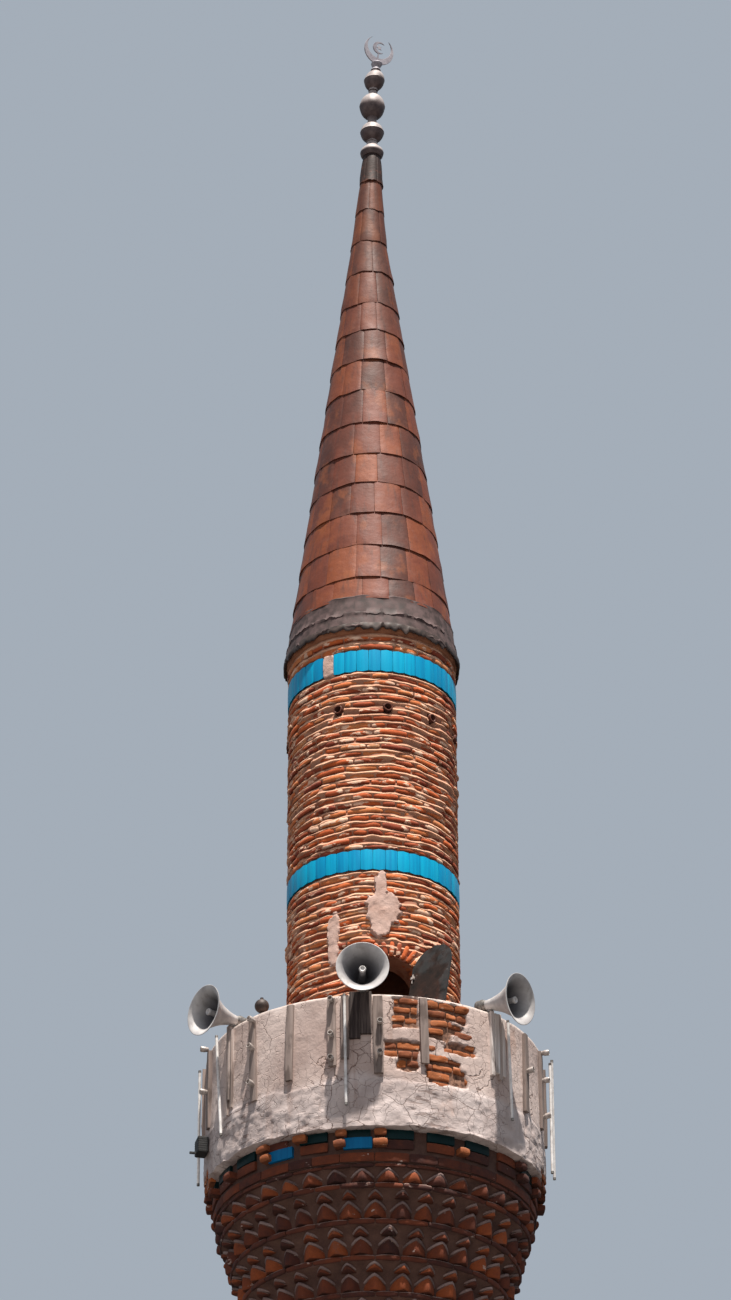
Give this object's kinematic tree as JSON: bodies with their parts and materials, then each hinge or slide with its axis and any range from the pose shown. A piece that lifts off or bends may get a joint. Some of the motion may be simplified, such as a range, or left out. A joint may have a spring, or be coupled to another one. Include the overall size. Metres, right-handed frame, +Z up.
{
  "type": "brick minaret with one balcony, tile bands and a sheet-metal spire",
  "caption": "Slender masonry tower on a square base: round brick shaft, corbelled balcony with plastered parapet and loudspeaker horns, blue tile bands, conical spire and crescent finial.",
  "frame": {"origin": "centre of the plinth's flat underside, on the tower's axis at ground level", "axes": "+Z up along the tower; the pictured side, with the balcony doorway, faces -Y; +X is to the right seen from there"},
  "size_m": [3.3185, 3.7169, 30.8065],
  "materials": {
    "stone": "weathered pale stone blocks",
    "brick": "worn fired brick in pale mortar",
    "plaster": "old cracked lime plaster, with weathered timber laths",
    "glazed_tile": "turquoise glaze",
    "roof_sheet": "red-brown weathered sheet",
    "lead_hem": "dull grey-mauve sheet",
    "finial_metal": "dull pale metal",
    "door_metal": "rusted, with old green paint",
    "horn_paint": "pale grey paint",
    "bracket_steel": "weathered galvanised steel",
    "lamp_black": "black paint"
  },
  "bodies": {
    "root": {"balcony_door_leaf": "door_metal", "balcony_floor": "stone", "cone_hem": "lead_hem", "cone_shell": "roof_sheet", "cone_tip": "roof_sheet", "corbel_tier_1": "brick", "corbel_tier_2": "brick", "corbel_tier_3": "brick", "corbel_tier_4": "brick", "corbel_tier_5": "brick", "cornice_band": "brick", "cornice_course": "brick", "door_arch": "brick", "door_left_jamb": "brick", "door_right_jamb": "brick", "door_stage_back_wall": "brick", "eaves_cove": "stone", "finial_base_bell": "finial_metal", "finial_crescent": "finial_metal", "finial_lower_globe": "finial_metal", "finial_middle_globe": "finial_metal", "finial_upper_globe": "finial_metal", "floodlight": "lamp_black", "horn_back": "horn_paint", "horn_back_mount": "bracket_steel", "horn_front": "horn_paint", "horn_front_mount": "bracket_steel", "horn_left": "horn_paint", "horn_left_mount": "bracket_steel", "horn_right": "horn_paint", "horn_right_mount": "bracket_steel", "lower_tile_band": "glazed_tile", "parapet": "plaster", "pedestal_back_wall": "stone", "pedestal_cornice": "stone", "pedestal_door_arch": "stone", "pedestal_front_left_pier": "stone", "pedestal_front_right_pier": "stone", "pedestal_left_wall": "stone", "pedestal_right_wall": "stone", "plinth": "stone", "shaft": "brick", "shaft_base_ring": "stone", "spotlight": "bracket_steel", "transition": "stone", "upper_shaft": "brick", "upper_tile_band": "glazed_tile"}
  },
  "joints": []
}
